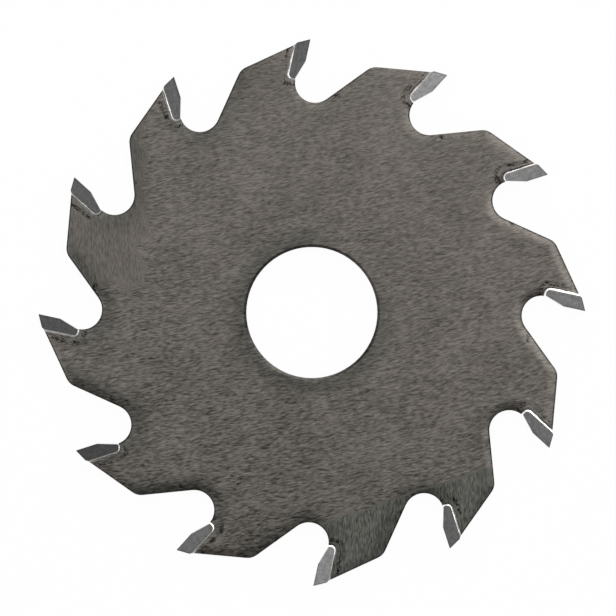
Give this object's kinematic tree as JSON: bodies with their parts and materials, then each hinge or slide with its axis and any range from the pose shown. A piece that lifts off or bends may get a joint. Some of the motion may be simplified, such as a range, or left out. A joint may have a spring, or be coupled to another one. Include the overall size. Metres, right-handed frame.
{
  "type": "grooving saw blade",
  "caption": "Flat circular saw blade for cutting grooves: a thick steel plate with a round bore, deep rounded gullets and brazed carbide tips.",
  "frame": {"origin": "centre of the bore, at half the plate's thickness", "axes": "+Z along the bore's axis; seen from +Z the teeth point clockwise, and +Y runs to the cutting corner of tip 1"},
  "size_m": [0.125, 0.125, 0.004],
  "materials": {
    "plate": "finely ground dark grey steel with slanting grinding marks and heat stains behind the tips",
    "carbide": "smooth ground grey carbide, satin",
    "solder": "bright silver solder, smooth and slightly wavy"
  },
  "bodies": {
    "root": {"blade_body": "plate", "carbide_tip_01": "carbide", "carbide_tip_02": "carbide", "carbide_tip_03": "carbide", "carbide_tip_04": "carbide", "carbide_tip_05": "carbide", "carbide_tip_06": "carbide", "carbide_tip_07": "carbide", "carbide_tip_08": "carbide", "carbide_tip_09": "carbide", "carbide_tip_10": "carbide", "carbide_tip_11": "carbide", "carbide_tip_12": "carbide", "solder_joint_01": "solder", "solder_joint_02": "solder", "solder_joint_03": "solder", "solder_joint_04": "solder", "solder_joint_05": "solder", "solder_joint_06": "solder", "solder_joint_07": "solder", "solder_joint_08": "solder", "solder_joint_09": "solder", "solder_joint_10": "solder", "solder_joint_11": "solder", "solder_joint_12": "solder"}
  },
  "joints": []
}
